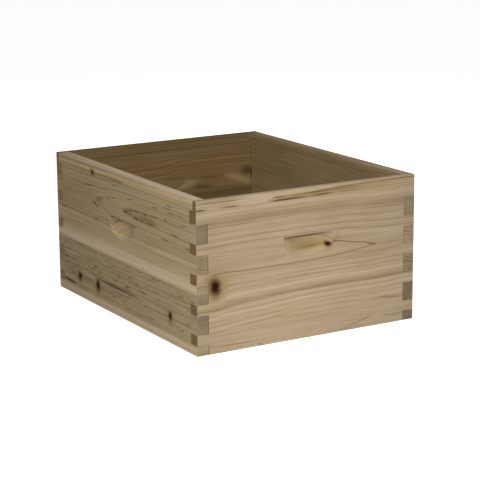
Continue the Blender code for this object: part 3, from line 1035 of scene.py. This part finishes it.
def right_lower_wood():
    """Darker ringed plank with a cathedral on its outer face."""
    rings = [(26, 0.45, 2, 0.8), (33, 0.4, 3, 1), (42, 0.4, 3, 1)]
    grain = Grain(
        height=[(0, 52), (250, 46), (505, 50)],
        depth=[(0, 22), (120, 24), (250, 28), (505, 40)],
        upper=rings,
        lower=rings,
        spacing=4.2,
        contrast=0.42,
    )
    knots = [(96, 70, 8.5, 7), (430, 30, 6, 6.5, 1, 0.2)]
    marks = Marks(knots=knots, flecks=[(12, 90, 0.3, 36)])
    return softwood("right_lower_fir", RIGHT, grain, RIGHT_LOWER_FIR, marks,
                    Shading(end_height=RIGHT_ENDS), seed=171)


def glue_height(lower_node, upper_node):
    """Height of the glue line between two CAD planks, in millimetres."""
    return (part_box(lower_node)[1].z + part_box(upper_node)[0].z) / 2 / MM


def build_front_board():
    """Bottom strip, knotted middle plank and the narrow strip outside the frame rest."""
    steps = end_board_steps()
    line = glue_height("front_board_bottom_strip", "front_board_main_plank")
    knot_pits = [
        (33.5, 108, 0.7, 7.5, 1.6), (30, 103, 4.5, 0.5, 1.0), (239, 150, 4.5, 1.4, 1.8),
        (368, 43, 5.0, 0.5, 0.7),
    ]
    add_plank(FRONT, "front_board_bottom_strip", steps, 0.0, line, front_bottom_wood(),
              pits=[(114, 3, 2.0, 0.5, 0.8)])
    add_plank(FRONT, "front_board_main_plank", steps, line, REST_HEIGHT, front_main_wood(),
              scooped=True, pits=knot_pits)
    add_plank(FRONT, "front_board_top_strip", steps, REST_HEIGHT, HEIGHT, front_top_wood(),
              w_high=LIP, pits=[(168, 230.6, 9.0, 0.5, 0.8)])


def build_rear_board():
    """Wide plank and a top strip that holds the frame rest."""
    steps = end_board_steps()
    line = glue_height("rear_board_main_plank", "rear_board_top_strip")
    add_plank(REAR, "rear_board_main_plank", steps, 0.0, line, rear_main_wood(), scooped=True,
              pits=[(318, 96, 4.5, 0.7, 1.4), (74, 62, 0.6, 3.5, 1.0)])
    add_plank(REAR, "rear_board_top_strip", steps, line, HEIGHT, rear_top_wood(), rest=True)


def build_left_board():
    """Side board of two planks; the lower one has three knots."""
    steps = side_board_steps()
    line = glue_height("left_board_lower_plank", "left_board_upper_plank")
    lower_pits = [
        (86, 38, 3.0, 1.0, 1.2), (157, 37, 1.0, 4.5, 1.5), (418, 44.5, 0.8, 3.2, 1.2),
        (40, 21.7, 13.0, 0.9, 1.0),
    ]
    upper_pits = [
        (152, 180.2, 5.0, 0.9, 1.2), (147, 232.3, 2.6, 0.9, 1.0),
        (268, 186.3, 5.0, 0.7, 1.0), (308, 182, 4.0, 0.8, 1.0), (357, 181, 8.0, 0.5, 0.8),
    ]
    add_plank(LEFT, "left_board_lower_plank", steps, 0.0, line, left_lower_wood(), pits=lower_pits)
    add_plank(LEFT, "left_board_upper_plank", steps, line, HEIGHT, left_upper_wood(), scooped=True,
              pits=upper_pits)


def build_right_board():
    """Side board of two planks, opposite the left one."""
    steps = side_board_steps()
    line = glue_height("right_board_lower_plank", "right_board_upper_plank")
    add_plank(RIGHT, "right_board_lower_plank", steps, 0.0, line, right_lower_wood(),
              pits=[(96, 70, 4.0, 0.8, 1.3), (430, 30, 0.7, 3.0, 1.2)])
    add_plank(RIGHT, "right_board_upper_plank", steps, line, HEIGHT, right_upper_wood(),
              scooped=True, pits=[(372, 118, 0.8, 4.0, 1.3)])


# -------- Stage, light and camera --------

CAMERA_AZIMUTH = -30.55
CAMERA_ELEVATION = 13.28
CAMERA_ROLL = -0.42
CAMERA_DISTANCE = 2.8
CAMERA_AIM = (-0.01115, -0.05556, 0.12218)
CAMERA_LENS = 124.66
SENSOR_WIDTH = 36.0

Softbox = namedtuple("Softbox", "name azimuth elevation distance size power")
SOFTBOXES = [
    Softbox("key", -24, 66, 1.6, 0.9, 10.0),
    Softbox("low_fill", -34, 20, 2.0, 0.5, 23.0),
    Softbox("back_fill", 132, 0, 2.4, 0.28, 36.0),
]
LIGHT_AIM = (0.0, -0.20, 0.15)
WORLD_LIGHT = 0.02
FLOOR_GREY = (0.85, 0.85, 0.85, 1.0)
FLOOR_ROUGHNESS = 0.9
FLOOR_GLOW = 0.95
FLOOR_DROP = 0.0004
FLOOR_RADIUS = 40.0
WHITE = (1, 1, 1, 1)


def aimed_object(name, data, aim, azimuth, elevation, distance):
    """Camera or lamp that looks at a point; azimuth 0 is in front of the box, at -Y."""
    item = new_object(name, data)
    turn, rise = math.radians(azimuth), math.radians(elevation)
    back = Vector((math.sin(turn) * math.cos(rise), -math.cos(turn) * math.cos(rise), math.sin(rise)))
    item.location = Vector(aim) + back * distance
    item.rotation_mode = "QUATERNION"
    item.rotation_quaternion = back.to_track_quat("Z", "Y")
    return item


def add_camera():
    """Camera at the front left corner, a little above the box."""
    camera = aimed_object("camera", bpy.data.cameras.new("camera"), CAMERA_AIM,
                          CAMERA_AZIMUTH, CAMERA_ELEVATION, CAMERA_DISTANCE)
    roll = Quaternion((0, 0, 1), math.radians(CAMERA_ROLL))
    camera.rotation_quaternion = camera.rotation_quaternion @ roll
    camera.data.lens = CAMERA_LENS
    camera.data.sensor_width = SENSOR_WIDTH
    bpy.context.scene.camera = camera


def camera_ray(tree):
    """1 where the camera looks straight at the surface, 0 for light that bounces."""
    return Signal(tree, tree.nodes.new("ShaderNodeLightPath").outputs["Is Camera Ray"])


def add_softbox(softbox):
    """Square lamp aimed at the top of the front board."""
    light = bpy.data.lights.new(softbox.name, "AREA")
    light.shape = "SQUARE"
    light.size = softbox.size
    light.energy = softbox.power
    aimed_object(softbox.name, light, LIGHT_AIM,
                 softbox.azimuth, softbox.elevation, softbox.distance)


def add_floor():
    """Pale floor that glows to the camera like a light table and takes the box's soft shadow."""
    shape = bmesh.new()
    bmesh.ops.create_circle(shape, cap_ends=True, radius=FLOOR_RADIUS, segments=96)
    floor = mesh_object("floor", shape)
    floor.location.z = -FLOOR_DROP
    material = bpy.data.materials.new("pale_floor")
    material.use_nodes = True
    shader = material.node_tree.nodes["Principled BSDF"]
    shader.inputs["Base Color"].default_value = FLOOR_GREY
    shader.inputs["Roughness"].default_value = FLOOR_ROUGHNESS
    shader.inputs["Emission Color"].default_value = WHITE
    plug(camera_ray(material.node_tree) * FLOOR_GLOW, shader.inputs["Emission Strength"])
    floor.data.materials.append(material)


def add_light():
    """Three soft boxes, and a world that is white to the camera but hardly lights the box."""
    for softbox in SOFTBOXES:
        add_softbox(softbox)
    world = bpy.data.worlds.new("studio")
    world.use_nodes = True
    shader = world.node_tree.nodes["Background"]
    shader.inputs["Color"].default_value = WHITE
    seen = camera_ray(world.node_tree)
    plug(seen * (1.0 - WORLD_LIGHT) + WORLD_LIGHT, shader.inputs["Strength"])
    bpy.context.scene.world = world
    bpy.context.scene.view_settings.view_transform = "Standard"


build_front_board()
build_rear_board()
build_left_board()
build_right_board()
add_camera()
add_floor()
add_light()
